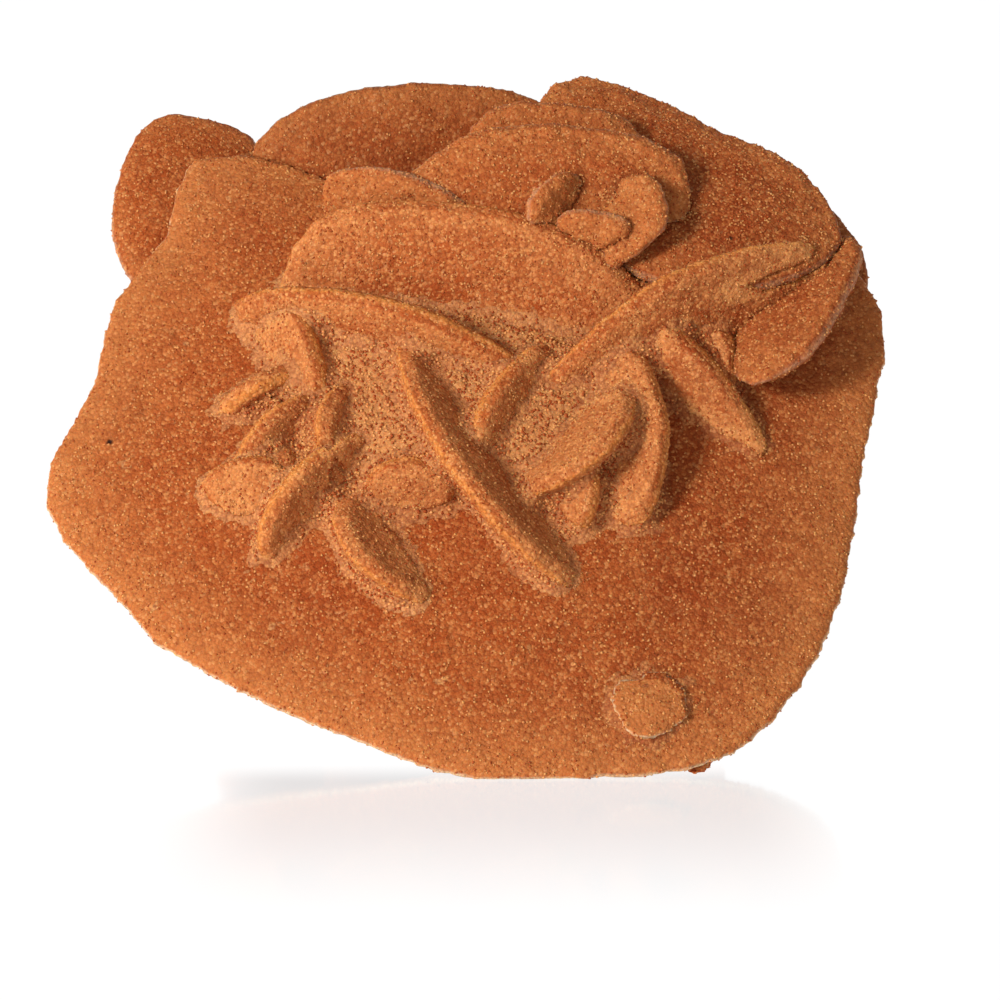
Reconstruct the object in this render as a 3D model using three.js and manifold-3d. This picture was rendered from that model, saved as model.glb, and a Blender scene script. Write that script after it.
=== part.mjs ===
// Gypsum sand rose, in millimetres, +Z up, standing on the floor plane z = 0.
//
// A rose of flat gypsum crystals that grew through one another in damp dune sand.
// One broad wafer, the main plate, leans back on a cluster of rear blades. Smaller
// petals are stacked along its upper edge, and a rosette of fins stands on its face.
// Every crystal is a lens-shaped blade of its own. Where two cross, the older one
// runs through and the younger one is cut back to it, with a hairline gap. Sand is
// cemented in the hollows between the fins.

import * as THREE from 'three';
import Module from 'manifold-3d';

const wasm = await Module();
wasm.setup();

// ---------------------------------------------------------------- driving dimensions
const PLATE_SLOPE = 40;        // degrees that the main plate's face rises from the floor
const PLATE_HEIGHT = 22.3;     // height of the plate's centre above the floor
const PLATE_THICK = 5;         // main plate at its middle
const RIM_HALF = { plate: 0.45, petal: 0.6, fin: 0.85, rear: 0.6, sand: 0.45 };  // half thickness by the rim
const GAP = 0.3;               // hairline left where one crystal is cut back to another

// how blunt a blade's tips are, and how full its sides: 1 is straight, 2 is round
const FIN_SHAPE = [1.5, 2.2];
const PETAL_SHAPE = [2.5, 2.5];
const SMALLEST_SAND = 12;      // lumps of sand under this volume (mm3) are left out

const ROUGHNESS = 0.85;
const ROSE_COLOURS = {
  plate: 0xb2683c,
  petal: 0xb06539,
  fin: 0xc07645,
  rear: 0x9a5631,
  sand: 0xb98055,
};

// ---------------------------------------------------------------- crystals
// Places are in the plate's frame: u to the right, v up the slope, n out of the face.
// heading turns a blade's length from u towards v, pitch lifts its far end off the
// plate, and lean stands its width up: 0 lies flat on the plate, 90 is square to it.
const MAIN_PLATE_RIM = [
  [43, 18], [42, 8], [40, 0], [38.5, -9], [35.5, -19.5], [30, -28.5], [23.5, -33.5], [9, -35], [0, -34.8],
  [-9, -31.5], [-20, -26.5], [-30.5, -20], [-34, -15.5], [-40.5, -8], [-42, -2], [-38, 9], [-36, 20],
  [-31.5, 27], [-29.5, 37], [-22, 37.5], [-12, 33.5], [0, 31], [20, 32], [34, 29], [40, 24],
];
const BROAD_PETAL_RIM = [
  [15.8, -3], [12, -7], [4, -9.5], [-5, -7], [-13, 1], [-16, 9],
  [-14.5, 18], [-11, 20.5], [-4, 18], [4, 12], [12, 6.5],
];

const CRYSTALS = [
  { name: 'main_plate', kind: 'plate', at: [0, 0, 0],
    rim: MAIN_PLATE_RIM, thick: PLATE_THICK, segments: 52, side: 'free' },
  { name: 'broad_upper_petal', kind: 'petal', at: [22.5, 25, 6.2], pitch: 2, lean: -7,
    rim: BROAD_PETAL_RIM, thick: 4, segments: 28, side: 'free' },

  // fins of the rosette
  { name: 'ridge_fin', kind: 'fin', at: [-6.5, 11.2, 2], heading: -18, pitch: -6, lean: 78,
    long: 35, wide: 15, thick: 3 },
  { name: 'right_diagonal_fin', kind: 'fin', at: [22.8, 12.4, 2.8], heading: 26, pitch: 7, lean: 68,
    long: 36, wide: 18.5, thick: 3.2 },
  { name: 'long_front_fin', kind: 'fin', at: [-0.3, 16, 2], heading: -10, lean: 45,
    long: 40, wide: 23.5, thick: 3.6, shape: [2, 2.7] },
  { name: 'long_diagonal_fin', kind: 'fin', at: [3, -1, 2], heading: -59, pitch: -3, lean: 130,
    long: 35, wide: 19, thick: 2.8 },
  { name: 'short_diagonal_fin', kind: 'fin', at: [4.6, 2.4, 2.9], heading: -117, lean: 118,
    long: 20, wide: 10.5, thick: 2.6 },
  { name: 'right_lower_fin', kind: 'fin', at: [21, 8, 3.1], heading: -44, pitch: -14, lean: 56,
    long: 27, wide: 9, thick: 3 },
  { name: 'right_leaf', kind: 'fin', at: [15.6, 0.6, 4], heading: -87, pitch: -8, lean: 31,
    long: 19, wide: 10.5, thick: 2.2 },
  { name: 'left_leaf', kind: 'fin', at: [11.6, -0.6, 5.4], heading: -130, pitch: -4, lean: 42,
    long: 15, wide: 10.5, thick: 2.2 },
  { name: 'leaf_lobe', kind: 'fin', at: [11.1, -5.2, 4.2], heading: -80, pitch: -8, lean: 40,
    long: 8.5, wide: 5, thick: 2.2 },
  { name: 'right_lobe_petal', kind: 'petal', at: [33.4, 15.2, 5.4], heading: -116, pitch: 3, lean: 30,
    long: 21, wide: 10.5, thick: 3 },
  { name: 'shaded_leaf', kind: 'fin', at: [24.6, 10.6, 3.4], heading: -62, lean: 42,
    long: 8, wide: 6, thick: 2.2 },
  { name: 'slope_fin_1', kind: 'fin', at: [-18.2, 10.9, 2.8], heading: -66, lean: 55,
    long: 17, wide: 9.5, thick: 2.4 },
  { name: 'slope_fin_2', kind: 'fin', at: [-20.3, 7, 2], heading: 28, lean: 100,
    long: 10, wide: 7, thick: 2.2 },
  { name: 'slope_fin_3', kind: 'fin', at: [-18, 0.8, 2], heading: -136, lean: 110,
    long: 13, wide: 10, thick: 2.4 },
  { name: 'slope_fin_4', kind: 'fin', at: [-18.2, -2.8, 2.5], heading: -80, lean: 70,
    long: 5.5, wide: 6, thick: 2.2 },
  { name: 'low_left_flake', kind: 'fin', at: [-20.3, -5, 3.2], heading: -8, lean: 40,
    long: 11, wide: 7, thick: 2.4 },
  { name: 'upright_fin', kind: 'fin', at: [-11.8, 1.2, 2], heading: -99, lean: 118,
    long: 12.5, wide: 11, thick: 2.2 },
  { name: 'lower_left_fin', kind: 'fin', at: [-14.5, -5.5, 2], heading: -128, lean: 112,
    long: 17.5, wide: 10.5, thick: 2.4 },
  { name: 'lower_fin', kind: 'fin', at: [-7.3, -10.8, 2], heading: -58, lean: 138,
    long: 14.5, wide: 13, thick: 2.4 },
  { name: 'small_lens', kind: 'fin', at: [-5.3, -4.8, 4.1], heading: -5, lean: 50,
    long: 9, wide: 5.5, thick: 2.4 },

  // petals stacked along the upper edge, and small blades in the crook behind the long fin
  { name: 'crook_fin', kind: 'petal', at: [-6.6, 26, 4.5], heading: -25, lean: 60,
    long: 18, wide: 11, thick: 2 },
  { name: 'inner_upper_petal', kind: 'petal', at: [8.6, 24.5, 7.4], heading: -4, pitch: 2, lean: 22,
    long: 30, wide: 20, thick: 3.4 },
  { name: 'middle_upper_petal', kind: 'petal', at: [9, 29.5, 5.8], heading: -6, lean: 22,
    long: 22, wide: 18, thick: 3, side: 'free' },
  { name: 'crook_petal_1', kind: 'petal', at: [15.8, 22.9, 9.4], heading: -76, lean: 34,
    long: 9.5, wide: 10.5, thick: 2 },
  { name: 'crook_petal_2', kind: 'petal', at: [9.7, 24.2, 9.2], heading: 48, lean: 60,
    long: 8.5, wide: 8, thick: 1.8 },
  { name: 'crook_petal_3', kind: 'petal', at: [12.9, 21.2, 9.6], heading: -10, lean: 62,
    long: 8, wide: 5.2, thick: 1.8 },
  { name: 'left_rear_petal', kind: 'petal', at: [-29.6, 34, -3.8], heading: 84, lean: 8,
    long: 24, wide: 16, thick: 4, side: 'free' },
  { name: 'upper_rear_plate', kind: 'plate', at: [-4.5, 33.6, -3.5], heading: 3, lean: 36,
    long: 38, wide: 26.5, thick: 4.2, side: 'free', segments: 24 },
  { name: 'right_rear_plate', kind: 'plate', at: [32.5, 26, -3.5], heading: -50, lean: 14,
    long: 20, wide: 17, thick: 3.6, side: 'free' },
  { name: 'plate_flake', kind: 'plate', at: [17.8, -27.6, 1.15], heading: 20, pitch: -2, lean: 2,
    long: 7.4, wide: 7, thick: 1.9, rimHalf: 0.85 },

  // rear blades that the plate leans on
  { name: 'rear_cross_blade', kind: 'rear', at: [0, 9.5, -13.5], heading: 5, lean: 50,
    long: 50, wide: 42, thick: 5, side: 'back', segments: 24 },
  { name: 'rear_keel_left', kind: 'rear', at: [-11, 3.5, -11.5], heading: 84, lean: 86,
    long: 40, wide: 40, thick: 4.6, side: 'back' },
  { name: 'rear_keel_right', kind: 'rear', at: [14, 5.5, -14], heading: 68, lean: 96,
    long: 38, wide: 37, thick: 4.6, side: 'back' },
  { name: 'rear_left_blade', kind: 'rear', at: [-14, 17.5, -17], heading: -18, lean: 62,
    long: 30, wide: 33, thick: 4, side: 'back' },
  { name: 'rear_right_blade', kind: 'rear', at: [17, 15.5, -19], heading: 24, lean: 66,
    long: 28, wide: 30, thick: 4, side: 'back' },
  { name: 'rear_shelf', kind: 'rear', at: [2, 2, -24], heading: 4, lean: -28,
    long: 44, wide: 24, thick: 4, side: 'back' },
  { name: 'rear_far_blade', kind: 'rear', at: [3, 21, -21], heading: -6, lean: 38,
    long: 24, wide: 22, thick: 3.6, side: 'back' },
  { name: 'front_foot_blade', kind: 'rear', at: [23.5, -28, -3], heading: 78, lean: 84,
    long: 13, wide: 9, thick: 3, side: 'back' },
];

// sand cemented in the hollows, as low mounds that the crystals stand in
const SANDS = [
  { name: 'cemented_sand', kind: 'sand', at: [-1, 6.5, 1.5], heading: -12, long: 44, wide: 25, thick: 7.4 },
  { name: 'crook_sand', kind: 'sand', at: [21, 21, 6], heading: 12, long: 15, wide: 8, thick: 7 },
];

// ---------------------------------------------------------------- blade solids
const BROAD = 15;                           // blades longer than this take the finer rings
// rings of points between the middle and the rim, as shares of the rim's reach
const RINGS = { plate: [0.5, 0.86, 0.985], broad: [0.6, 0.93], small: [0.87] };
const SEGMENTS = { broad: 20, small: 14 };  // points round the rim
const WAVES = [[3, 0.03], [5, 0.02]];       // swells round the rim: how many, and how high

/** The blade's outline as a list of points around its own centre. */
function outline(crystal) {
  const count = crystal.segments ?? (crystal.long > BROAD ? SEGMENTS.broad : SEGMENTS.small);
  if (crystal.rim) {
    const points = crystal.rim.map(([x, y]) => new THREE.Vector3(x, y, 0));
    const curve = new THREE.CatmullRomCurve3(points, true, 'centripetal');
    const ring = curve.getSpacedPoints(count).slice(0, count);
    return THREE.ShapeUtils.isClockWise(ring) ? ring.reverse() : ring;
  }
  const [blunt, full] = crystal.shape ?? (crystal.kind === 'fin' ? FIN_SHAPE : PETAL_SHAPE);
  const bow = (value, power) => Math.sign(value) * Math.abs(value) ** (2 / power);
  const ring = [];
  for (let i = 0; i < count; i += 1) {
    const t = (2 * Math.PI * i) / count;
    const wave = WAVES.reduce((sum, [swells, high]) => sum + high * Math.sin(swells * t + crystal.long), 1);
    const x = 0.5 * crystal.long * wave * bow(Math.cos(t), blunt);
    const y = 0.5 * crystal.wide * wave * bow(Math.sin(t), full);
    ring.push(new THREE.Vector3(x, y, 0));
  }
  return ring;
}

/** A closed lens: thick in the middle, blunt at the rim, grown all round by `grow`. */
function lens(crystal, grow) {
  const ring = outline(crystal);
  const count = ring.length;
  const half = 0.5 * crystal.thick;
  const positions = [];
  const index = [];
  const addRing = (share, height) => {
    for (const point of ring) {
      const reach = share + grow / point.length();
      positions.push(point.x * reach, point.y * reach, height);
    }
  };
  const rim = crystal.rimHalf ?? RIM_HALF[crystal.kind];
  const size = crystal.long > BROAD ? 'broad' : 'small';
  const rings = crystal.rim || crystal.kind === 'plate' ? RINGS.plate : RINGS[size];
  const front = rings.map((share) => [share, 1]);
  const back = rings.map((share) => [share, -1]).reverse();
  const levels = [...front, [1, 0], ...back];
  for (const [share, side] of levels) {
    addRing(share, side * (rim + (half - rim) * (1 - share ** 3) + grow));
  }
  const top = positions.length / 3;
  positions.push(0, 0, half + grow, 0, 0, -half - grow);
  const bottom = top + 1;
  for (let i = 0; i < count; i += 1) {
    const j = (i + 1) % count;
    index.push(top, i, j);
    for (let level = 0; level < levels.length - 1; level += 1) {
      const a = level * count + i;
      const b = level * count + j;
      index.push(a, a + count, b, b, a + count, b + count);
    }
    const last = (levels.length - 1) * count;
    index.push(bottom, last + j, last + i);
  }
  return { positions, index };
}

function toManifold({ positions, index }, matrix) {
  const point = new THREE.Vector3();
  const vertProperties = new Float32Array(positions.length);
  for (let i = 0; i < positions.length; i += 3) {
    point.fromArray(positions, i).applyMatrix4(matrix).toArray(vertProperties, i);
  }
  return new wasm.Manifold(new wasm.Mesh({ numProp: 3, vertProperties, triVerts: new Uint32Array(index) }));
}

function boxSolid(size, centre, matrix) {
  const box = new THREE.BoxGeometry(...size);
  box.translate(...centre);
  const positions = [];
  const index = [];
  const seen = new Map();
  for (let i = 0; i < box.index.count; i += 1) {
    const vertex = new THREE.Vector3().fromBufferAttribute(box.attributes.position, box.index.getX(i));
    const key = vertex.toArray().join();
    if (!seen.has(key)) {
      seen.set(key, positions.length / 3);
      positions.push(...vertex.toArray());
    }
    index.push(seen.get(key));
  }
  return toManifold({ positions, index }, matrix);
}

/** The separate closed bodies in a solid, largest first. */
function bodies(solid) {
  const mesh = solid.getMesh();
  const parent = Array.from({ length: mesh.numVert }, (_, i) => i);
  const find = (i) => {
    let root = i;
    while (parent[root] !== root) root = parent[root];
    while (parent[i] !== root) [parent[i], i] = [root, parent[i]];
    return root;
  };
  const tri = mesh.triVerts;
  for (let i = 0; i < tri.length; i += 3) {
    parent[find(tri[i])] = find(tri[i + 1]);
    parent[find(tri[i + 1])] = find(tri[i + 2]);
  }
  const parts = new Map();
  const corner = (k) => new THREE.Vector3().fromArray(mesh.vertProperties, mesh.numProp * k);
  for (let i = 0; i < tri.length; i += 3) {
    const root = find(tri[i]);
    if (!parts.has(root)) parts.set(root, { triangles: [], volume: 0 });
    const part = parts.get(root);
    part.triangles.push(tri[i], tri[i + 1], tri[i + 2]);
    const [a, b, c] = [0, 1, 2].map((k) => corner(tri[i + k]));
    part.volume += a.dot(b.cross(c)) / 6;
  }
  const result = [...parts.values()].map(({ triangles, volume }) => {
    const used = new Map();
    const positions = [];
    const index = triangles.map((k) => {
      if (!used.has(k)) {
        used.set(k, positions.length / 3);
        positions.push(...corner(k).toArray());
      }
      return used.get(k);
    });
    return { positions, index, volume };
  });
  return result.sort((a, b) => b.volume - a.volume);
}

// ---------------------------------------------------------------- the rose
const rose = new THREE.Group();
const plateFrame = new THREE.Group();
plateFrame.rotation.x = THREE.MathUtils.degToRad(PLATE_SLOPE);
plateFrame.position.z = PLATE_HEIGHT;
rose.add(plateFrame);
rose.updateMatrixWorld(true);

const identity = new THREE.Matrix4();
const FAR = 200;
const belowFloor = boxSolid([FAR, FAR, FAR], [0, 0, -FAR / 2], identity);
const behindPlate = boxSolid([FAR, FAR, FAR], [0, 0, -FAR / 2], plateFrame.matrixWorld);
const beforePlate = boxSolid([FAR, FAR, FAR], [0, 0, FAR / 2], plateFrame.matrixWorld);

function addMesh(name, kind, body, mesh) {
  const toLocal = new THREE.Matrix4().multiplyMatrices(plateFrame.matrixWorld, mesh.matrix).invert();
  const geometry = new THREE.BufferGeometry();
  geometry.setAttribute('position', new THREE.Float32BufferAttribute(body.positions, 3));
  geometry.setIndex(body.index);
  geometry.applyMatrix4(toLocal);
  mesh.geometry = geometry;
  mesh.name = name;
  mesh.material = new THREE.MeshStandardMaterial({ color: ROSE_COLOURS[kind], roughness: ROUGHNESS });
  plateFrame.add(mesh);
}

/** A mesh with no shape yet, standing where the piece stands in the plate's frame. */
function place({ at, heading = 0, pitch = 0, lean = 0 }) {
  const mesh = new THREE.Mesh();
  mesh.position.set(...at);
  mesh.rotation.set(...[lean, -pitch, heading].map(THREE.MathUtils.degToRad), 'ZYX');
  mesh.updateMatrix();
  return mesh;
}

const CUT_SIDE = { front: behindPlate, back: beforePlate };
const grown = [];
for (const crystal of CRYSTALS) {
  const mesh = place(crystal);
  const world = new THREE.Matrix4().multiplyMatrices(plateFrame.matrixWorld, mesh.matrix);
  const side = crystal.side ?? 'front';
  let solid = toManifold(lens(crystal, 0), world).subtract(belowFloor);
  if (side in CUT_SIDE) solid = solid.subtract(CUT_SIDE[side]);
  for (const older of grown) solid = solid.subtract(older);
  const room = toManifold(lens(crystal, GAP), world);
  grown.push(side === 'back' ? room.subtract(CUT_SIDE.back) : room);
  addMesh(crystal.name, crystal.kind, bodies(solid)[0], mesh);
}

for (const sand of SANDS) {
  const world = new THREE.Matrix4().multiplyMatrices(plateFrame.matrixWorld, place(sand).matrix);
  let solid = toManifold(lens(sand, 0), world).subtract(behindPlate);
  for (const crystal of grown) solid = solid.subtract(crystal);
  const lumps = bodies(solid).filter((body) => body.volume > SMALLEST_SAND);
  lumps.forEach((body, i) => addMesh(`${sand.name}_${i + 1}`, 'sand', body, place(sand)));
  grown.push(toManifold(lens(sand, GAP), world));
}

const box = new THREE.Box3().setFromObject(rose, true);
const middle = box.getCenter(new THREE.Vector3());
plateFrame.position.x -= middle.x;
plateFrame.position.y -= middle.y;

export default rose;
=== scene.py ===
import math

import bmesh
import bpy
import numpy as np
from bpy.props import FloatProperty, FloatVectorProperty, IntProperty, PointerProperty
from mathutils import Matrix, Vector
from mathutils.bvhtree import BVHTree


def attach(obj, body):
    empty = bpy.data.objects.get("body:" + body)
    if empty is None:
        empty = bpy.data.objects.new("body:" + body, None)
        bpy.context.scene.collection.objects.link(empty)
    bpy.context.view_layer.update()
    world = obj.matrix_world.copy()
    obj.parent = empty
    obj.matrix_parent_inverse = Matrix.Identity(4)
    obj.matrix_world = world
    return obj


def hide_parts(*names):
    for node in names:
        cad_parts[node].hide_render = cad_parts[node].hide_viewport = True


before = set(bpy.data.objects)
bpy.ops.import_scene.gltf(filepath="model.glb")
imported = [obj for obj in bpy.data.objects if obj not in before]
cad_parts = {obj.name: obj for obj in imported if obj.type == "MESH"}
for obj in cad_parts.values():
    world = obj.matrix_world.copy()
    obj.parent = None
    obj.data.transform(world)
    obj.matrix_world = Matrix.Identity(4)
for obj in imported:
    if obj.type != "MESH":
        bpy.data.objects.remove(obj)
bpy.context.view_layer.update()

bl_info = {
    "name": "Gypsum Sand Rose",
    "version": (1, 0, 0),
    "blender": (4, 5, 0),
    "location": "View3D > Sidebar > Sand Rose",
    "description": "Grows the sandy skin, loose grains and finish of a gypsum sand rose",
    "category": "Object",
}

MM = 0.001
BODY = "root"

# The crystals by family. Each family shares a mesh cell size and a finish.
PLATES = ["main_plate", "plate_flake"]
BROAD_PLATES = ["main_plate", "left_rear_petal"]
REAR_PLATES = ["upper_rear_plate", "right_rear_plate"]
REAR_PETALS = ["left_rear_petal"]
SANDS = [n for n in sorted(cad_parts) if "_sand_" in n]
CROOK = [n for n in sorted(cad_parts) if n.startswith("crook_") and n not in SANDS]
PETALS = [n for n in sorted(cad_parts) if n.endswith("petal") and n not in REAR_PETALS] + CROOK
REAR_BLADES = [n for n in sorted(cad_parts) if n.startswith("rear_")] + ["front_foot_blade"]
FINS = sorted(set(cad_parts) - set(PLATES + REAR_PLATES + REAR_PETALS + PETALS + REAR_BLADES + SANDS))


# ------------------------------------------------------------------ settings
def length(name, description, default_mm):
    """A size property, given here in millimetres and kept in metres."""
    default = default_mm * MM
    return FloatProperty(name=name, description=description, default=default, min=0.0, unit="LENGTH")


def number(name, description, default):
    return FloatProperty(name=name, description=description, default=default)


def whole(name, description, default):
    return IntProperty(name=name, description=description, default=default)


def colour(name, description, default):
    return FloatVectorProperty(name=name, description=description, default=default, subtype="COLOR", size=3)


class SandRoseSkin(bpy.types.PropertyGroup):
    """Shape of the sandy skin that each crystal grows."""

    plate_cell: length("Plate Cell", "Edge length of the main plate's mesh", 0.42)
    front_cell: length("Front Cell", "Edge length on the petals and rosette fins", 0.26)
    rear_cell: length("Rear Cell", "Edge length on the blades behind", 0.42)
    joint_growth: length("Joint Growth", "Growth that closes the hairline between two crystals", 0.12)
    round_steps: whole("Rounding", "Smoothing passes over the worn ridges", 2)
    plate_round_steps: whole("Plate Rounding", "Smoothing passes over the plates", 7)
    plate_waves: length("Plate Waves", "Height of the broad swells on plates", 0.40)
    petal_waves: length("Petal Waves", "Height of the broad swells on petals", 0.55)
    fin_waves: length("Fin Waves", "Height of the broad swells on fins", 0.28)
    wave_size: length("Wave Size", "Width of the broad swells", 7.0)
    plate_nibble: length("Plate Nibble", "Depth of the nibbled edges of plates", 0.75)
    petal_nibble: length("Petal Nibble", "Depth of the nibbled edges of petals", 1.15)
    fin_nibble: length("Fin Nibble", "Depth of the nibbled edges of fins", 0.42)
    plate_nibble_size: length("Plate Nibble Size", "Width of one nibble of a plate", 4.5)
    nibble_size: length("Nibble Size", "Width of one nibble of a petal or fin", 1.9)
    pebble_height: length("Pebble Height", "Height of the grainy surface", 0.09)
    pebble_size: length("Pebble Size", "Width of one bump of the grainy surface", 0.75)
    fillet: length("Fillet", "Sand built up where two crystals meet", 0.12)
    fillet_reach: length("Fillet Reach", "Distance over which that sand tapers off", 1.8)
    sand_cell: length("Sand Cell", "Edge length of the sand between the fins", 0.50)
    sand_reach: length("Sand Reach", "Half the width of the gaps that sand fills", 0.75)
    sand_lumps: length("Sand Lumps", "Height of the lumps in the sand", 0.34)
    sand_lump_size: length("Sand Lump Size", "Width of one lump of the sand", 1.3)
    sand_show: length("Sand Show", "Distance from a crystal past which the sand carries grains", 0.26)
    sand_sink: length("Sand Sink", "How far the sand stays under a bare crystal face", 0.14)


class SandRoseGrains(bpy.types.PropertyGroup):
    """Loose and half-buried sand grains."""

    size: length("Grain Size", "Width of a sand grain", 0.30)
    coarse: number("Coarse Sand", "Size of the grains in the hollows against the others", 1.4)
    plate_density: number("Plate Grains", "Grains per mm2 on the main plate", 3.2)
    front_density: number("Front Grains", "Grains per mm2 on petals and fins", 5.0)
    sand_density: number("Sand Grains", "Grains per mm2 on the sand in the hollows", 9.0)
    rear_density: number("Rear Grains", "Grains per mm2 behind", 1.6)
    seed: whole("Seed", "Choice of grain places", 11)


class SandRoseColours(bpy.types.PropertyGroup):
    """Colours of the gypsum and its sand, as linear values."""

    body: colour("Gypsum", "Main colour of the sandy gypsum", (0.36, 0.069, 0.0115))
    # tan and pale also paint a glow on thin edges, a painted glow of light through the thin crystal; pale
    # also paints the glints
    tan: colour("Tan Grain", "Lighter grains and thin edges of the plates and petals", (0.60, 0.215, 0.060))
    pale: colour("Pale Grain", "Lighter grains and thin edges of fins and sand", (0.70, 0.30, 0.095))
    # shade: painted shade, laid where another crystal stands near
    shade: colour("Painted Joint Shade", "Painted shade deep in the joints", (0.20, 0.034, 0.005))
    # rim: a painted glow on the thin rims, where light shines through and bounces up from the floor
    rim: colour("Painted Rim Glow", "Painted glow on the thin rims of the plates and petals", (0.90, 0.60, 0.34))
    speck: colour("Iron Speck", "Rare dark specks of iron ore", (0.030, 0.008, 0.004))
    # ridge: worn bare ridges, and partly a painted highlight where the ridges face the key light
    ridge: colour("Worn Ridge Highlight", "Bare worn ridges of the fins, partly a painted highlight", (0.68, 0.255, 0.055))
    # dark: the dark grains' own tone, and painted shade in the gaps between grains
    dark: colour("Gap", "Gaps between grains and deep hollows", (0.14, 0.021, 0.004))
    # rust: redder stained patches, also laid over the +X side as painted shade
    rust: colour("Iron Stain", "Redder stained patches", (0.26, 0.042, 0.007))
    sand: colour("Cemented Sand", "Sand in the hollows", (0.52, 0.205, 0.075))


class SandRoseStage(bpy.types.PropertyGroup):
    """Floor, lights and camera."""

    lens: number("Lens", "Focal length in millimetres", 120.0)
    distance: length("Camera Distance", "From the lens to the point it looks at", 333.3)
    aim: FloatVectorProperty(
        name="Camera Aim",
        description="The point that the camera looks at",
        default=(2.89 * MM, -6.57 * MM, 18.92 * MM),
        subtype="TRANSLATION",
        unit="LENGTH",
    )
    elevation: FloatProperty(
        name="Camera Elevation",
        description="Angle above the floor",
        default=math.radians(20),
        subtype="ANGLE",
    )
    key_power: number("Key Light", "Power of the main soft light", 1.5)
    fill_power: number("Front Fill", "Power of the low light in front", 0.35)
    surround: number("Surround", "Strength of the white surround", 0.34)
    back_wall: number("Back Wall", "Strength of the white wall behind", 1.0)
    floor_glow: number("Floor Glow", "Light that the lit floor gives off", 1.0)
    polish_share: number("Polish", "Glow that the polished strip trades for reflection", 0.25)


class SandRoseSettings(bpy.types.PropertyGroup):
    """All settings of the sand rose."""

    skin: PointerProperty(type=SandRoseSkin)
    grains: PointerProperty(type=SandRoseGrains)
    colours: PointerProperty(type=SandRoseColours)
    stage: PointerProperty(type=SandRoseStage)


# ------------------------------------------------------------------ node helpers
def add_node(tree, kind, settings=None, **inputs):
    """A new node with its settings, and with each input set or linked, by name or as i0, i1 and so on."""
    made = tree.nodes.new(kind)
    for key, value in (settings or {}).items():
        setattr(made, key, value)
    for key, value in inputs.items():
        numbered = key[0] == "i" and key[1:].isdigit()
        socket = made.inputs[int(key[1:]) if numbered else key.replace("_", " ")]
        if isinstance(value, bpy.types.NodeSocket):
            tree.links.new(value, socket)
        else:
            socket.default_value = value
    return made


def calc(tree, operation, a, b=0.0, c=0.0, clamp=False):
    """Output of a Math node."""
    settings = {"operation": operation, "use_clamp": clamp}
    return add_node(tree, "ShaderNodeMath", settings, i0=a, i1=b, i2=c).outputs[0]


def times(tree, a, b):
    return calc(tree, "MULTIPLY", a, b)


def vector_calc(tree, operation, a, b=(0.0, 0.0, 0.0)):
    """Vector output of a Vector Math node; `b` is the factor where the operation is SCALE."""
    made = tree.nodes.new("ShaderNodeVectorMath")
    made.operation = operation
    for socket, value in ((made.inputs[0], a), (made.inputs[3 if operation == "SCALE" else 1], b)):
        if isinstance(value, bpy.types.NodeSocket):
            tree.links.new(value, socket)
        else:
            socket.default_value = value
    return made.outputs[0]


def blend_colour(tree, factor, a, b, kind="MIX"):
    """Colour output of a Mix node in colour mode."""
    made = tree.nodes.new("ShaderNodeMix")
    made.data_type = "RGBA"
    made.blend_type = kind
    for index, value in ((0, factor), (6, a), (7, b)):
        if isinstance(value, bpy.types.NodeSocket):
            tree.links.new(value, made.inputs[index])
        else:
            made.inputs[index].default_value = value
    return made.outputs[2]


def ramp(tree, value, low, high):
    """0 at low, 1 at high, smooth between."""
    settings = {"interpolation_type": "SMOOTHSTEP"}
    made = add_node(tree, "ShaderNodeMapRange", settings, i0=value, i1=low, i2=high)
    return made.outputs[0]


def group_socket(tree, name, kind, out=False, default=None):
    socket = tree.interface.new_socket(name=name, in_out="OUTPUT" if out else "INPUT", socket_type=kind)
    if default is not None:
        socket.default_value = default
    return socket


def rgba(values):
    return (*values, 1.0)


# ------------------------------------------------------------------ geometry trees
def finish_tree(tree, geometry, material):
    """End a geometry tree with real geometry and its material."""
    real = add_node(tree, "GeometryNodeRealizeInstances", None, Geometry=geometry)
    done = add_node(tree, "GeometryNodeSetMaterial", None, Geometry=real.outputs[0], Material=material)
    add_node(tree, "NodeGroupOutput", None, Geometry=done.outputs[0])
    return tree


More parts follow.
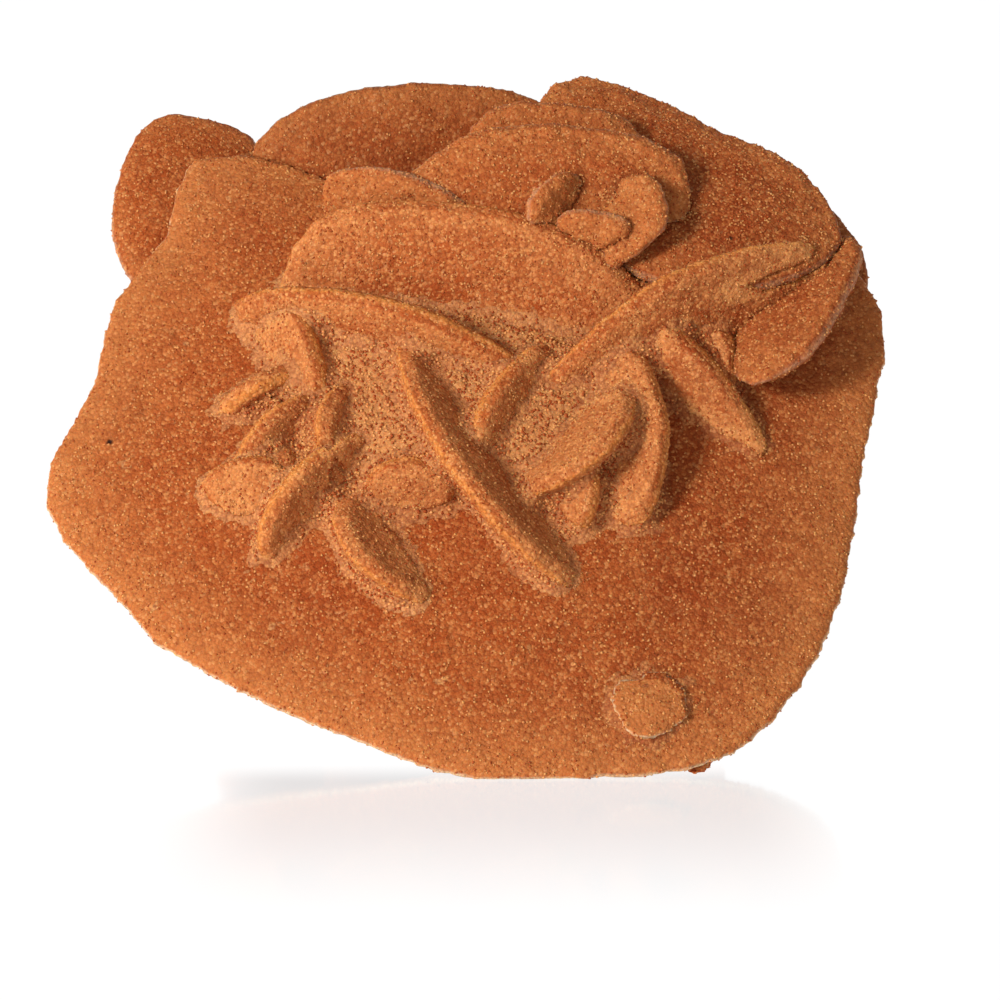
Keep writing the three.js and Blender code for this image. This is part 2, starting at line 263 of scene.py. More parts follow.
def sandy_skin_tree():
    """Set each point out along its normal: broad swells, nibbled edges and a pebbled surface."""
    tree = bpy.data.node_groups.new("Sandy Skin", "GeometryNodeTree")
    group_socket(tree, "Geometry", "NodeSocketGeometry")
    for name in ("Wave", "Nibble", "Pebble"):
        group_socket(tree, f"{name} Height", "NodeSocketFloat")
        group_socket(tree, f"{name} Size", "NodeSocketFloat")
    group_socket(tree, "Seed", "NodeSocketFloat")
    group_socket(tree, "Material", "NodeSocketMaterial")
    group_socket(tree, "Geometry", "NodeSocketGeometry", out=True)
    inputs = tree.nodes.new("NodeGroupInput").outputs
    place = tree.nodes.new("GeometryNodeInputPosition").outputs[0]
    normal = tree.nodes.new("GeometryNodeInputNormal").outputs[0]
    thin = add_node(tree, "GeometryNodeInputNamedAttribute", {"data_type": "FLOAT"}, Name="thin").outputs[0]

    def swell(size, detail, height):
        scale = calc(tree, "DIVIDE", 1.0, inputs[size])
        settings = {"noise_dimensions": "4D"}
        noise = add_node(
            tree, "ShaderNodeTexNoise", settings, Vector=place, W=inputs["Seed"], Scale=scale, Detail=detail
        )
        centred = calc(tree, "SUBTRACT", noise.outputs[0], 0.5)
        return times(tree, centred, times(tree, height, 2.0))

    # the nibbles are nearly all on the thin edges
    edge = calc(tree, "MULTIPLY_ADD", calc(tree, "POWER", thin, 1.6), 0.9, 0.1)
    wave = swell("Wave Size", 2.0, inputs["Wave Height"])
    nibble = swell("Nibble Size", 3.0, times(tree, inputs["Nibble Height"], edge))
    cell_scale = calc(tree, "DIVIDE", 1.0, inputs["Pebble Size"])
    cells = add_node(tree, "ShaderNodeTexVoronoi", {"feature": "F1"}, Vector=place, Scale=cell_scale)
    bump = calc(tree, "SUBTRACT", 0.45, cells.outputs["Distance"])
    pebble = times(tree, bump, times(tree, inputs["Pebble Height"], 2.0))
    height = calc(tree, "ADD", calc(tree, "ADD", wave, nibble), pebble)
    offset = vector_calc(tree, "SCALE", normal, height)
    moved = add_node(tree, "GeometryNodeSetPosition", None, Geometry=inputs["Geometry"], Offset=offset)
    return finish_tree(tree, moved.outputs[0], inputs["Material"])


def grain_scatter_tree():
    """Half-buried grains over a surface, more of them where its `grit` is high."""
    tree = bpy.data.node_groups.new("Grain Scatter", "GeometryNodeTree")
    group_socket(tree, "Geometry", "NodeSocketGeometry")
    for name in ("Density", "Grain Size"):
        group_socket(tree, name, "NodeSocketFloat")
    group_socket(tree, "Seed", "NodeSocketInt")
    group_socket(tree, "Material", "NodeSocketMaterial")
    group_socket(tree, "Geometry", "NodeSocketGeometry", out=True)
    inputs = tree.nodes.new("NodeGroupInput").outputs
    grit = add_node(tree, "GeometryNodeInputNamedAttribute", {"data_type": "FLOAT"}, Name="grit").outputs[0]
    points = add_node(
        tree,
        "GeometryNodeDistributePointsOnFaces",
        None,
        Mesh=inputs["Geometry"],
        Density=times(tree, inputs["Density"], grit),
        Seed=inputs["Seed"],
    )
    grain = add_node(tree, "GeometryNodeMeshUVSphere", None, Segments=4, Rings=2, Radius=0.5)

    def chance(kind, low, high, shift):
        made = add_node(tree, "FunctionNodeRandomValue", {"data_type": kind})
        sockets = {"FLOAT_VECTOR": (0, 1), "FLOAT": (2, 3)}[kind]
        made.inputs[sockets[0]].default_value = low
        made.inputs[sockets[1]].default_value = high
        tree.links.new(calc(tree, "ADD", inputs["Seed"], shift), made.inputs["Seed"])
        return made.outputs[0 if kind == "FLOAT_VECTOR" else 1]

    turn = chance("FLOAT_VECTOR", (0.0, 0.0, 0.0), (math.tau, math.tau, math.tau), 1.0)
    turned = add_node(tree, "FunctionNodeEulerToRotation", None, Euler=turn).outputs[0]
    shape = chance("FLOAT_VECTOR", (0.6, 0.7, 0.8), (1.1, 1.25, 1.5), 2.0)
    scale = vector_calc(tree, "SCALE", shape, inputs["Grain Size"])
    placed = add_node(
        tree,
        "GeometryNodeInstanceOnPoints",
        None,
        Points=points.outputs["Points"],
        Instance=grain.outputs["Mesh"],
        Rotation=turned,
        Scale=scale,
    )
    tinted = add_node(
        tree,
        "GeometryNodeStoreNamedAttribute",
        {"data_type": "FLOAT", "domain": "INSTANCE"},
        Geometry=placed.outputs[0],
        Name="tint",
        Value=chance("FLOAT", 0.0, 1.0, 3.0),
    )
    return finish_tree(tree, tinted.outputs[0], inputs["Material"])


# ------------------------------------------------------------------ material groups
SHADED_SIDE = (2 * MM, 30 * MM)   # from here to here along X the gypsum is painted darker and redder: a painted shade of the side away from the key light
SPECK_SPACING = 7 * MM             # distance between the places where a dark speck may be


def grain_group():
    """Packed sand grains: one tone per grain, its rounded height, and the gaps around it."""
    tree = bpy.data.node_groups.get("Packed Grains")
    if tree:
        return tree
    tree = bpy.data.node_groups.new("Packed Grains", "ShaderNodeTree")
    group_socket(tree, "Grain Size", "NodeSocketFloat", default=0.32 * MM)
    group_socket(tree, "Tone", "NodeSocketFloat", out=True)
    group_socket(tree, "Glint", "NodeSocketFloat", out=True)
    group_socket(tree, "Height", "NodeSocketFloat", out=True)
    group_socket(tree, "Gap", "NodeSocketFloat", out=True)
    inputs = tree.nodes.new("NodeGroupInput").outputs
    place = add_node(tree, "ShaderNodeTexCoord").outputs["Object"]
    scale = calc(tree, "DIVIDE", 1.0, inputs["Grain Size"])
    cells = add_node(tree, "ShaderNodeTexVoronoi", {"feature": "F1"}, Vector=place, Scale=scale)
    small_scale = times(tree, scale, 2.1)
    small = add_node(tree, "ShaderNodeTexVoronoi", {"feature": "F1"}, Vector=place, Scale=small_scale)
    split = add_node(tree, "ShaderNodeSeparateColor", None, Color=cells.outputs["Color"])
    small_split = add_node(tree, "ShaderNodeSeparateColor", None, Color=small.outputs["Color"])
    tone = calc(tree, "MULTIPLY_ADD", small_split.outputs[0], 0.35, times(tree, split.outputs[0], 0.65))
    glint = ramp(tree, split.outputs[1], 0.82, 0.95)
    dome = calc(tree, "SUBTRACT", 1.0, calc(tree, "POWER", cells.outputs["Distance"], 1.6))
    small_dome = calc(tree, "SUBTRACT", 1.0, small.outputs["Distance"])
    height = calc(tree, "MULTIPLY_ADD", small_dome, 0.3, times(tree, dome, 0.7))
    gap = ramp(tree, cells.outputs["Distance"], 0.45, 0.85)
    add_node(tree, "NodeGroupOutput", None, Tone=tone, Glint=glint, Height=height, Gap=gap)
    return tree


def stain_group():
    """Slow changes of colour through the rose: iron staining, a painted shade that darkens and reddens the +X
    side, paler clouds and rare dark specks.
    """
    tree = bpy.data.node_groups.get("Iron Stain")
    if tree:
        return tree
    tree = bpy.data.node_groups.new("Iron Stain", "ShaderNodeTree")
    group_socket(tree, "Patch Size", "NodeSocketFloat", default=11 * MM)
    group_socket(tree, "Stain", "NodeSocketFloat", out=True)
    group_socket(tree, "Cloud", "NodeSocketFloat", out=True)
    group_socket(tree, "Speck", "NodeSocketFloat", out=True)
    inputs = tree.nodes.new("NodeGroupInput").outputs
    place = add_node(tree, "ShaderNodeTexCoord").outputs["Object"]
    scale = calc(tree, "DIVIDE", 1.0, inputs["Patch Size"])
    broad = add_node(tree, "ShaderNodeTexNoise", None, Vector=place, Scale=scale, Detail=4.0, Roughness=0.6)
    fine_scale = times(tree, scale, 4.3)
    fine = add_node(tree, "ShaderNodeTexNoise", None, Vector=place, Scale=fine_scale, Detail=3.0)
    across = add_node(tree, "ShaderNodeSeparateXYZ", None, Vector=place).outputs["X"]
    # painted shade: the +X side, away from the key light, is laid with the rust colour
    side = ramp(tree, across, *SHADED_SIDE)
    patches = times(tree, ramp(tree, broad.outputs[0], 0.45, 0.68), 0.53)
    stain_and_shade = calc(tree, "MULTIPLY_ADD", side, 0.85, patches, clamp=True)
    cloud = ramp(tree, fine.outputs[0], 0.35, 0.7)
    cells = add_node(tree, "ShaderNodeTexVoronoi", {"feature": "F1"}, Vector=place, Scale=1.0 / SPECK_SPACING)
    chosen = add_node(tree, "ShaderNodeSeparateColor", None, Color=cells.outputs["Color"]).outputs[0]
    size = calc(tree, "MULTIPLY_ADD", fine.outputs[0], 0.09, times(tree, chosen, 0.03))
    kept = calc(tree, "GREATER_THAN", chosen, 0.7)
    speck = times(tree, kept, ramp(tree, cells.outputs["Distance"], size, 0.02))
    add_node(tree, "NodeGroupOutput", None, Stain=stain_and_shade, Cloud=cloud, Speck=speck)
    return tree


def attribute(tree, name):
    return add_node(tree, "ShaderNodeAttribute", {"attribute_name": name}).outputs["Fac"]


def gypsum_material(
    family, colours, lighter, brightness=1.0, sandiness=0.0, rim=None, rim_share=0.6, shaded=0.45
):
    """Sandy gypsum: speckled grains and stained patches, with painted light on top: a painted glow on thin
    edges and rims, lighter worn ridges that are partly a painted highlight, painted glints, and painted shade
    near other crystals, between grains and on the +X side.
    """
    made = bpy.data.materials.new(f"grown_{family}")
    made.use_nodes = True
    tree = made.node_tree
    tree.nodes.clear()
    grains = add_node(tree, "ShaderNodeGroup", {"node_tree": grain_group()})
    stains_and_shade = add_node(tree, "ShaderNodeGroup", {"node_tree": stain_group()})
    thin = attribute(tree, "thin")
    hollow = attribute(tree, "hollow")
    tone = grains.outputs["Tone"]

    def tinted(base, mask, share, tint):
        """The base with so much of a tint where the mask is 1."""
        return blend_colour(tree, times(tree, mask, share), base, rgba(tint))

    base = blend_colour(tree, sandiness, rgba(colours.body), rgba(colours.sand))
    # iron-stained patches, and painted shade on the +X side
    base = tinted(base, stains_and_shade.outputs["Stain"], 0.8, colours.rust)
    base = tinted(base, stains_and_shade.outputs["Cloud"], 0.18, lighter)
    # painted shade: darker where another crystal stands near, by the hollow closeness
    base = tinted(base, ramp(tree, hollow, 0.35, 0.9), shaded, colours.shade)
    # painted glow: thin walls made lighter, as where light shines through them
    base = tinted(base, ramp(tree, thin, 0.1, 0.8), 0.55, lighter)
    # painted glow along the thin rims of plates and petals; on the fins the same mask paints the ridges
    # lighter, worn bare and partly a painted highlight
    if rim:
        base = tinted(base, ramp(tree, attribute(tree, "ridge"), 0.3, 0.85), rim_share, rim)
    base = tinted(base, ramp(tree, tone, 0.5, 0.95), 0.55, lighter)
    base = tinted(base, grains.outputs["Glint"], 0.45, colours.pale)
    # the grains' own dark tone, and painted shade in the gaps between grains; fewer of both where the crystal
    # is thin and lets light through
    dark = times(tree, ramp(tree, tone, 0.42, 0.08), 0.5)
    dark = calc(tree, "MAXIMUM", dark, times(tree, grains.outputs["Gap"], 0.45))
    base = tinted(base, dark, calc(tree, "MULTIPLY_ADD", thin, -0.6, 1.0), colours.dark)
    # painted light: the whole family made darker or lighter, darker for the rear plates and petals in shade
    # and lighter for the lit fins
    base = blend_colour(tree, 1.0, base, rgba([brightness] * 3), "MULTIPLY")
    base = blend_colour(tree, stains_and_shade.outputs["Speck"], base, rgba(colours.speck))
    rough = calc(tree, "MULTIPLY_ADD", grains.outputs["Glint"], -0.35, 0.82)
    grain_height = grains.outputs["Height"]
    bump = add_node(tree, "ShaderNodeBump", None, Strength=0.9, Distance=0.13 * MM, Height=grain_height)
    shader = add_node(
        tree,
        "ShaderNodeBsdfPrincipled",
        None,
        Base_Color=base,
        Roughness=rough,
        Normal=bump.outputs[0],
        Subsurface_Weight=0.3,
        Subsurface_Radius=(1.0, 0.36, 0.14),
        Subsurface_Scale=1.1 * MM,
        IOR=1.52,
        Specular_IOR_Level=0.12,
    )
    add_node(tree, "ShaderNodeOutputMaterial", None, Surface=shader.outputs[0])
    return made


def grain_material(colours):
    """Single sand grains, from iron-dark through orange to clear and pale."""
    made = bpy.data.materials.get("sand_grain")
    if made:
        return made
    made = bpy.data.materials.new("sand_grain")
    made.use_nodes = True
    tree = made.node_tree
    tree.nodes.clear()
    tint = attribute(tree, "tint")
    place = add_node(tree, "ShaderNodeTexCoord").outputs["Object"]
    cloud = add_node(tree, "ShaderNodeTexNoise", None, Vector=place, Scale=1.0 / (0.2 * MM), Detail=1.0)
    mixed = calc(tree, "MULTIPLY_ADD", cloud.outputs[0], 0.3, calc(tree, "SUBTRACT", tint, 0.15))
    base = blend_colour(tree, ramp(tree, mixed, -0.05, 0.12), rgba(colours.rust), rgba(colours.body))
    base = blend_colour(tree, ramp(tree, mixed, 0.25, 0.95), base, rgba(colours.pale))
    rough = calc(tree, "MULTIPLY_ADD", tint, -0.35, 0.7)
    shader = add_node(
        tree,
        "ShaderNodeBsdfPrincipled",
        None,
        Base_Color=base,
        Roughness=rough,
        Subsurface_Weight=0.3,
        Subsurface_Radius=(1.0, 0.5, 0.25),
        Subsurface_Scale=0.4 * MM,
        IOR=1.5,
        Specular_IOR_Level=0.22,
    )
    add_node(tree, "ShaderNodeOutputMaterial", None, Surface=shader.outputs[0])
    return made


# ------------------------------------------------------------------ mesh work
def evaluated_mesh(piece):
    """The piece's mesh with its modifiers applied; the modifiers are then removed."""
    depsgraph = bpy.context.evaluated_depsgraph_get()
    mesh = bpy.data.meshes.new_from_object(piece.evaluated_get(depsgraph), depsgraph=depsgraph)
    piece.modifiers.clear()
    old = piece.data
    piece.data = mesh
    bpy.data.meshes.remove(old)
    return mesh


def welded_copy(node):
    """A new object with the CAD node's mesh, its loose triangles merged into one closed skin."""
    mesh = bpy.data.meshes.new(f"{node}_skin")
    shell = bmesh.new()
    shell.from_mesh(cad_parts[node].data)
    bmesh.ops.remove_doubles(shell, verts=shell.verts, dist=0.002 * MM)
    shell.to_mesh(mesh)
    shell.free()
    piece = bpy.data.objects.new(f"{node}_skin", mesh)
    bpy.context.scene.collection.objects.link(piece)
    return piece


def corners(nodes):
    """Points and triangles of several CAD nodes together."""
    points, faces, start = [], [], 0
    for node in nodes:
        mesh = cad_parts[node].data
        points.extend(v.co.copy() for v in mesh.vertices)
        faces.extend([start + i for i in polygon.vertices] for polygon in mesh.polygons)
        start += len(mesh.vertices)
    return points, faces


def vectors(source, key):
    """One vector of each item of a mesh list, as rows of an array."""
    values = np.zeros(len(source) * 3, np.float32)
    source.foreach_get(key, values)
    return values.reshape(-1, 3)


def set_attribute(mesh, name, values):
    layer = mesh.attributes.get(name) or mesh.attributes.new(name, "FLOAT", "POINT")
    layer.data.foreach_set("value", np.asarray(values, np.float32))


THIN_LIMIT = 4.2 * MM      # a wall under this thickness starts to glow
PROBE_DEPTH = 0.35 * MM    # how far under the skin the thickness is measured from

# How gritty a skin is: on a bare face, how much more at a joint, how much less on a worn ridge, and at most
BARE_GRIT = 0.55
JOINT_GRIT = 0.7
RIDGE_GRIT = 0.35
MOST_GRIT = 1.2


def measure_surroundings(piece, node, reach):
    """The skin's points and normals, and for each how thin the crystal is there, how far the nearest
    other crystal is, and how far the skin turns away from the crystal's flat."""
    mesh = piece.data
    own = BVHTree.FromPolygons(*corners([node]))
    others = BVHTree.FromPolygons(*corners([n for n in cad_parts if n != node]))
    points = vectors(mesh.vertices, "co")
    normals = vectors(mesh.vertex_normals, "vector")
    thickness = np.full(len(points), PROBE_DEPTH, np.float32)
    distance = np.full(len(points), reach, np.float32)
    for i, (point, normal) in enumerate(zip(points, normals)):
        start, inward = Vector(point - normal * PROBE_DEPTH), Vector(-normal)
        hit = own.ray_cast(start, inward, THIN_LIMIT)
        thickness[i] = THIN_LIMIT if hit[3] is None else hit[3] + PROBE_DEPTH
        near = others.find_nearest(Vector(point), reach)
        if near[3] is not None:
            distance[i] = near[3]
    thin = np.clip(1.0 - thickness / THIN_LIMIT, 0.0, 1.0)
    ridge = 1.0 - np.abs(normals @ blade_normal(node))
    return points, normals, thin, distance, ridge


def blade_normal(node):
    """The direction square to a blade's flat, as the thinnest way through its points."""
    points = vectors(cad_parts[node].data.vertices, "co")
    spread = np.cov((points - points.mean(axis=0)).T)
    return np.linalg.eigh(spread)[1][:, 0]


def joined(name, sources):
    """A new object that holds the meshes of several pieces."""
    mesh = bpy.data.meshes.new(name)
    heap = bmesh.new()
    for source in sources:
        heap.from_mesh(bpy.data.objects[source].data)
    heap.to_mesh(mesh)
    heap.free()
    piece = bpy.data.objects.new(name, mesh)
    bpy.context.scene.collection.objects.link(piece)
    return piece


def socket_id(tree, name):
    """The identifier of a tree's input, by its name."""
    return next(
        item.identifier
        for item in tree.interface.items_tree
        if item.item_type == "SOCKET" and item.in_out == "INPUT" and item.name == name
    )


def run_tree(piece, tree, values):
    """Let a geometry tree, with its inputs set by name, remake the piece's mesh."""
    modifier = piece.modifiers.new(tree.name, "NODES")
    modifier.node_group = tree
    for name, value in values.items():
        modifier[socket_id(tree, name)] = value
    mesh = evaluated_mesh(piece)
    mesh.shade_smooth()
    mesh.name = piece.name


def step(piece, kind, **values):
    """Add a modifier with its values."""
    modifier = piece.modifiers.new(kind.title(), kind)
    for key, value in values.items():
        setattr(modifier, key, value)


def grow_skin(node, cell, material, settings, skin_tree, wave, nibble, wave_size=None):
    """The crystal's own fine surface: rounded ridges, sand built up at its joints, and grain."""
    skin = settings.skin
    piece = welded_copy(node)
    wide = node in PLATES + REAR_PLATES + REAR_PETALS
    step(piece, "REMESH", mode="VOXEL", voxel_size=cell)
    step(piece, "DISPLACE", strength=skin.joint_growth, mid_level=0.0)
    step(piece, "SMOOTH", factor=0.6, iterations=skin.plate_round_steps if wide else skin.round_steps)
    mesh = evaluated_mesh(piece)
    points, normals, thin, distance, ridge = measure_surroundings(piece, node, skin.fillet_reach)
    closeness = 1.0 - distance / skin.fillet_reach
    points = points + normals * (skin.fillet * closeness**2)[:, None]
    mesh.vertices.foreach_set("co", points.ravel())
    set_attribute(mesh, "thin", thin)
    set_attribute(mesh, "hollow", closeness)
    set_attribute(mesh, "ridge", ridge)
    grit = BARE_GRIT + JOINT_GRIT * closeness - RIDGE_GRIT * ridge
    set_attribute(mesh, "grit", np.clip(grit, 0.0, MOST_GRIT))
    values = {
        "Wave Height": wave,
        "Wave Size": wave_size or skin.wave_size,
        "Nibble Height": nibble,
        "Nibble Size": skin.plate_nibble_size if node in BROAD_PLATES else skin.nibble_size,
        "Pebble Height": skin.pebble_height,
        "Pebble Size": skin.pebble_size,
        "Seed": float(sum(map(ord, node)) % 97),
        "Material": material,
    }
    run_tree(piece, skin_tree, values)
    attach(piece, BODY)
    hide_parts(node)
    return piece


GROWTH_STEPS = 3    # the crystals grow into the gaps in this many even steps
SAND_SEED = 5.0     # choice of the lumps in the sand


def sand_depth(mesh, nodes, skin):
    """How far each point lies from the nearest grown crystal: more than the sink only on open sand."""
    trees = []
    for node in nodes:
        grown = bpy.data.objects[f"{node}_skin"].data
        faces = [polygon.vertices for polygon in grown.polygons]
        trees.append(BVHTree.FromPolygons([vertex.co for vertex in grown.vertices], faces))
    depth = np.full(len(mesh.vertices), skin.sand_reach, np.float32)
    for i, vertex in enumerate(mesh.vertices):
        for tree in trees:
            near = tree.find_nearest(vertex.co, float(depth[i]))
            if near[3] is not None:
                depth[i] = near[3]
    return depth


def sand_between(name, nodes, settings, material, skin_tree):
    """Sand that fills the narrow gaps between grown crystals and slopes up to their faces.

    The crystals are grown together until the gaps close, then the whole is shrunk back by as much,
    which leaves the gaps filled and everything else just under the crystals' own skins."""
    skin = settings.skin
    piece = joined(name, [f"{node}_skin" for node in nodes])
    step(piece, "REMESH", mode="VOXEL", voxel_size=skin.sand_cell)
    for _ in range(GROWTH_STEPS):
        step(piece, "DISPLACE", strength=skin.sand_reach / GROWTH_STEPS, mid_level=0.0)
        step(piece, "REMESH", mode="VOXEL", voxel_size=skin.sand_cell)
    step(piece, "SMOOTH", factor=0.6, iterations=3)
    step(piece, "DISPLACE", strength=-skin.sand_reach - skin.sand_sink, mid_level=0.0)
    step(piece, "SMOOTH", factor=0.5, iterations=2)
    mesh = evaluated_mesh(piece)
    count = len(mesh.vertices)
    set_attribute(mesh, "thin", np.zeros(count))
    set_attribute(mesh, "hollow", np.ones(count))
    set_attribute(mesh, "grit", sand_depth(mesh, nodes, skin) > skin.sand_show)
    values = {
        "Wave Height": skin.sand_lumps,
        "Wave Size": skin.sand_lump_size,
        "Nibble Height": 0.0,
        "Nibble Size": skin.nibble_size,
        "Pebble Height": skin.pebble_height,
        "Pebble Size": skin.pebble_size,
        "Seed": SAND_SEED,
        "Material": material,
    }
    run_tree(piece, skin_tree, values)
    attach(piece, BODY)
    return piece


def scatter_grains(name, sources, density, settings, share=1.0):
    """Sand grains over several grown pieces, as one piece; share is their size against the others."""
    grains = settings.grains
    piece = joined(name, sources)
    tree = shared_tree("Grain Scatter", grain_scatter_tree)
    values = {
        "Density": density / MM**2,
        "Grain Size": grains.size * share,
        "Seed": grains.seed,
        "Material": grain_material(settings.colours),
    }
    run_tree(piece, tree, values)
    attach(piece, BODY)


def rest_on_floor(piece):
    """Flattens the worn feet where the rose stands, so that none sinks into the floor."""
    mesh = piece.data
    points = vectors(mesh.vertices, "co")
    points[:, 2] = np.maximum(points[:, 2], 0.0)
    mesh.vertices.foreach_set("co", points.ravel())
    mesh.update()


# ------------------------------------------------------------------ operators
def shared_tree(name, build):
    return bpy.data.node_groups.get(name) or build()


class SandRosePart:
    """What every operator of the sand rose shares."""

    bl_options = {"REGISTER", "UNDO"}

    def grow_family(
        self, context, family, nodes, cell, wave, nibble, wave_size=None, pale=False, rim=None, **finish
    ):
        """Grow the skins of a family of crystals, which share one material."""
        settings = context.scene.sand_rose
        lighter = settings.colours.pale if pale else settings.colours.tan
        rim = getattr(settings.colours, rim) if rim else None
        tree = shared_tree("Sandy Skin", sandy_skin_tree)
        material = gypsum_material(family, settings.colours, lighter, rim=rim, **finish)
        for node in nodes:
            rest_on_floor(grow_skin(node, cell, material, settings, tree, wave, nibble, wave_size))
        return {"FINISHED"}


class SANDROSE_OT_plates(SandRosePart, bpy.types.Operator):
    """Grow the broad main plate and the two plates behind its upper edge"""

    bl_idname = "sand_rose.plates"
    bl_label = "Plates"

    def execute(self, context):
        skin = context.scene.sand_rose.skin
        self.grow_family(
            context, "plates", PLATES, skin.plate_cell, skin.plate_waves, skin.plate_nibble,
            rim="rim", rim_share=0.85, shaded=0.35,
        )
        return self.grow_family(
            context, "rear_plates", REAR_PLATES, skin.rear_cell, skin.petal_waves, skin.petal_nibble,
            # rear plates painted darker as a whole: painted shade
            brightness=0.84, rim="rim", rim_share=0.3,
        )


class SANDROSE_OT_petals(SandRosePart, bpy.types.Operator):
    """Grow the petals stacked along the upper edge"""

    bl_idname = "sand_rose.petals"
    bl_label = "Petals"

    def execute(self, context):
        skin = context.scene.sand_rose.skin
        self.grow_family(
            context, "rear_petals", REAR_PETALS, skin.rear_cell, skin.plate_waves, skin.plate_nibble,
            rim="rim", rim_share=0.4,
        )
        return self.grow_family(
            context, "petals", PETALS, skin.front_cell, skin.petal_waves, skin.petal_nibble,
            brightness=0.98, rim="rim", rim_share=0.25, shaded=0.8,
        )


class SANDROSE_OT_fins(SandRosePart, bpy.types.Operator):
    """Grow the fins of the rosette"""

    bl_idname = "sand_rose.fins"
    bl_label = "Rosette Fins"

    def execute(self, context):
        skin = context.scene.sand_rose.skin
        return self.grow_family(
            context, "fins", FINS, skin.front_cell, skin.fin_waves, skin.fin_nibble,
            # the ridge colour paints the fin ridges lighter: worn bare, partly a painted highlight
            brightness=1.06, pale=True, rim="ridge",
        )


class SANDROSE_OT_rear_blades(SandRosePart, bpy.types.Operator):
    """Grow the blades behind that the plate leans on"""

    bl_idname = "sand_rose.rear_blades"
    bl_label = "Rear Blades"

    def execute(self, context):
        skin = context.scene.sand_rose.skin
        return self.grow_family(
            context, "rear_blades", REAR_BLADES, skin.rear_cell, skin.petal_waves, skin.fin_nibble
        )


class SANDROSE_OT_cemented_sand(SandRosePart, bpy.types.Operator):
    """Grow the sand that is cemented in the hollows"""

    bl_idname = "sand_rose.cemented_sand"
    bl_label = "Cemented Sand"

    def execute(self, context):
        settings = context.scene.sand_rose
        skin = settings.skin
        self.grow_family(
            context, "cemented_sand", SANDS, skin.front_cell, skin.sand_lumps, 0.0, skin.sand_lump_size,
            pale=True, sandiness=0.8, shaded=0.0,
        )
        material = bpy.data.materials["grown_cemented_sand"]
        tree = shared_tree("Sandy Skin", sandy_skin_tree)
        rest_on_floor(sand_between("rosette_sand", PLATES + FINS + SANDS, settings, material, tree))
        return {"FINISHED"}


class SANDROSE_OT_grains(bpy.types.Operator):
    """Scatter the single sand grains that stick to the crystals"""

    bl_idname = "sand_rose.grains"
    bl_label = "Sand Grains"

    def execute(self, context):
        settings = context.scene.sand_rose
        grains = settings.grains
        plates = [f"{n}_skin" for n in PLATES + REAR_PETALS]
        scatter_grains("plate_grains", plates, grains.plate_density, settings)
        petals = [f"{n}_skin" for n in PETALS]
        scatter_grains("petal_grains", petals, grains.front_density, settings)
        fins = [f"{n}_skin" for n in FINS]
        scatter_grains("fin_grains", fins, grains.front_density, settings)
        sands = ["rosette_sand"] + [f"{n}_skin" for n in SANDS]
        scatter_grains("sand_grains", sands, grains.sand_density, settings, grains.coarse)
        rear = [f"{n}_skin" for n in REAR_BLADES + REAR_PLATES]
        scatter_grains("rear_grains", rear, grains.rear_density, settings)
        return {"FINISHED"}


FLOOR_REACH = 3.0                     # from the middle of the floor to each side
POLISH_NEAR = (-28 * MM, -33 * MM)    # along Y, near the rose, where the polish is none and where whole
POLISH_FAR = (-64 * MM, -36 * MM)     # along Y, away from the rose, the same
POLISH_MIDDLE = 4 * MM                # the polished strip's middle along X
POLISH_SIDES = (36 * MM, 20 * MM)     # from that middle, where the polish is none and where whole
WALL_EDGE = (0.6, 0.85)               # how squarely backwards the white wall begins, and is whole
KEY_LIGHT = {"azimuth": -46, "elevation": 26, "distance": 0.38, "size": 0.09}
FRONT_FILL = {"azimuth": -12, "elevation": 8, "distance": 0.45, "size": 0.3}


def floor_material(settings):
    """A white lit floor with a faintly polished strip in front of the rose."""
    made = bpy.data.materials.new("pale_floor")
    made.use_nodes = True
    tree = made.node_tree
    tree.nodes.clear()
    place = add_node(tree, "ShaderNodeTexCoord").outputs["Object"]
    split = add_node(tree, "ShaderNodeSeparateXYZ", None, Vector=place)
    near = ramp(tree, split.outputs["Y"], *POLISH_NEAR)
    far = ramp(tree, split.outputs["Y"], *POLISH_FAR)
    along = calc(tree, "ABSOLUTE", calc(tree, "SUBTRACT", split.outputs["X"], POLISH_MIDDLE))
    polish = times(tree, times(tree, near, far), ramp(tree, along, *POLISH_SIDES))
    glow = calc(tree, "MULTIPLY_ADD", polish, -settings.polish_share, settings.floor_glow)
    shader = add_node(
        tree,
        "ShaderNodeBsdfPrincipled",
        None,
        Base_Color=(0.02, 0.02, 0.02, 1),
        Roughness=0.12,
        IOR=2.3,
        Specular_IOR_Level=times(tree, polish, 0.5),
        Emission_Color=(1.0, 1.0, 1.0, 1.0),
        Emission_Strength=glow,
    )
    add_node(tree, "ShaderNodeOutputMaterial", None, Surface=shader.outputs[0])
    return made


def white_surround(settings):
    """A dim white surround with a brighter wall behind the rose."""
    world = bpy.data.worlds.new("white_surround")
    world.use_nodes = True
    tree = world.node_tree
    background = tree.nodes["Background"]
    toward = add_node(tree, "ShaderNodeTexCoord").outputs["Generated"]
    behind = add_node(tree, "ShaderNodeSeparateXYZ", None, Vector=toward).outputs["Y"]
    wall = times(tree, ramp(tree, behind, *WALL_EDGE), settings.back_wall - settings.surround)
    tree.links.new(calc(tree, "ADD", wall, settings.surround), background.inputs["Strength"])
    background.inputs["Color"].default_value = (1, 1, 1, 1)
    return world


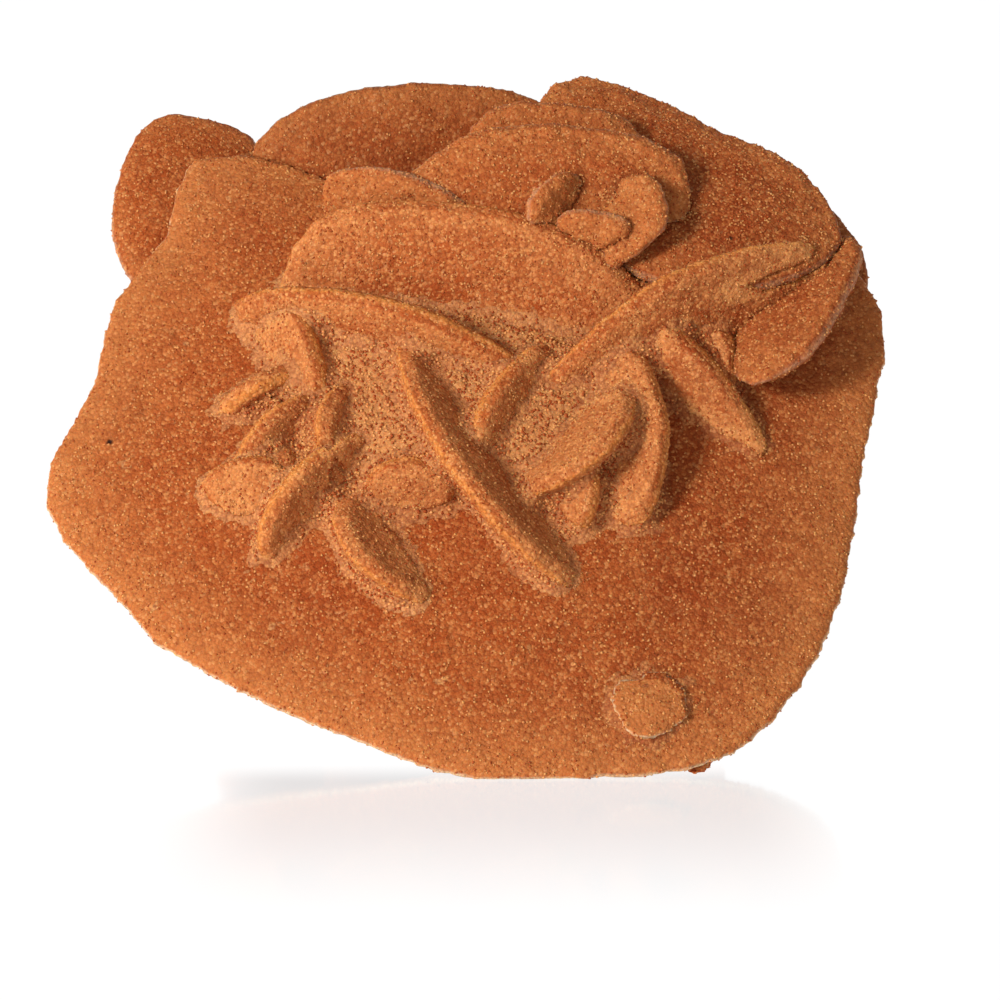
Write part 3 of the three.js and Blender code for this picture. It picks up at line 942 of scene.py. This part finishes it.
class SANDROSE_OT_stage(bpy.types.Operator):
    """Set the pale floor, the soft studio lights and the camera"""

    bl_idname = "sand_rose.stage"
    bl_label = "Stage"

    def execute(self, context):
        scene = context.scene
        settings = scene.sand_rose.stage
        floor_mesh = bpy.data.meshes.new("floor")
        square = [(x * FLOOR_REACH, y * FLOOR_REACH, 0) for x, y in ((-1, -1), (1, -1), (1, 1), (-1, 1))]
        floor_mesh.from_pydata(square, [], [(0, 1, 2, 3)])
        floor_mesh.materials.append(floor_material(settings))
        floor = bpy.data.objects.new("floor", floor_mesh)
        scene.collection.objects.link(floor)

        scene.world = white_surround(settings)
        scene.view_settings.view_transform = "Standard"

        aim = Vector(settings.aim)
        soft_light("key_light", aim, power=settings.key_power, **KEY_LIGHT)
        soft_light("front_fill", aim, power=settings.fill_power, **FRONT_FILL)
        back = Vector((0.0, -math.cos(settings.elevation), math.sin(settings.elevation)))
        camera_data = bpy.data.cameras.new("camera")
        camera_data.lens = settings.lens
        camera_data.sensor_width = 36.0
        camera_data.clip_start = 0.01
        camera = bpy.data.objects.new("camera", camera_data)
        scene.collection.objects.link(camera)
        camera.location = aim + back * settings.distance
        camera.rotation_mode = "QUATERNION"
        camera.rotation_quaternion = (-back).to_track_quat("-Z", "Y")
        scene.camera = camera
        return {"FINISHED"}


def soft_light(name, target, azimuth, elevation, distance, size, power):
    """A square soft light that looks at the target; azimuth 0 is in front, 90 on the right."""
    turn, rise = math.radians(azimuth), math.radians(elevation)
    back = Vector((math.sin(turn) * math.cos(rise), -math.cos(turn) * math.cos(rise), math.sin(rise)))
    data = bpy.data.lights.new(name, "AREA")
    data.shape = "SQUARE"
    data.size = size
    data.energy = power
    light = bpy.data.objects.new(name, data)
    bpy.context.scene.collection.objects.link(light)
    light.location = target + back * distance
    light.rotation_mode = "QUATERNION"
    light.rotation_quaternion = (-back).to_track_quat("-Z", "Y")
    return light


class SANDROSE_PT_panel(bpy.types.Panel):
    """Sand rose controls in the 3D view's sidebar"""

    bl_idname = "SANDROSE_PT_panel"
    bl_label = "Sand Rose"
    bl_space_type = "VIEW_3D"
    bl_region_type = "UI"
    bl_category = "Sand Rose"

    def draw(self, context):
        settings = context.scene.sand_rose
        for title, group in (
            ("Skin", settings.skin),
            ("Grains", settings.grains),
            ("Colours", settings.colours),
            ("Stage", settings.stage),
        ):
            box = self.layout.box()
            box.label(text=title)
            for name in type(group).__annotations__:
                box.prop(group, name)
        for operator in OPERATORS:
            self.layout.operator(operator.bl_idname)


SETTINGS = (SandRoseSkin, SandRoseGrains, SandRoseColours, SandRoseStage, SandRoseSettings)
OPERATORS = (
    SANDROSE_OT_plates,
    SANDROSE_OT_petals,
    SANDROSE_OT_fins,
    SANDROSE_OT_rear_blades,
    SANDROSE_OT_cemented_sand,
    SANDROSE_OT_grains,
    SANDROSE_OT_stage,
)


def register():
    for cls in (*SETTINGS, *OPERATORS, SANDROSE_PT_panel):
        bpy.utils.register_class(cls)
    bpy.types.Scene.sand_rose = PointerProperty(type=SandRoseSettings)


def unregister():
    del bpy.types.Scene.sand_rose
    for cls in reversed((*SETTINGS, *OPERATORS, SANDROSE_PT_panel)):
        bpy.utils.unregister_class(cls)


def main():
    register()
    bpy.ops.sand_rose.plates()
    bpy.ops.sand_rose.petals()
    bpy.ops.sand_rose.fins()
    bpy.ops.sand_rose.rear_blades()
    bpy.ops.sand_rose.cemented_sand()
    bpy.ops.sand_rose.grains()
    bpy.ops.sand_rose.stage()


if __name__ == "__main__":
    main()
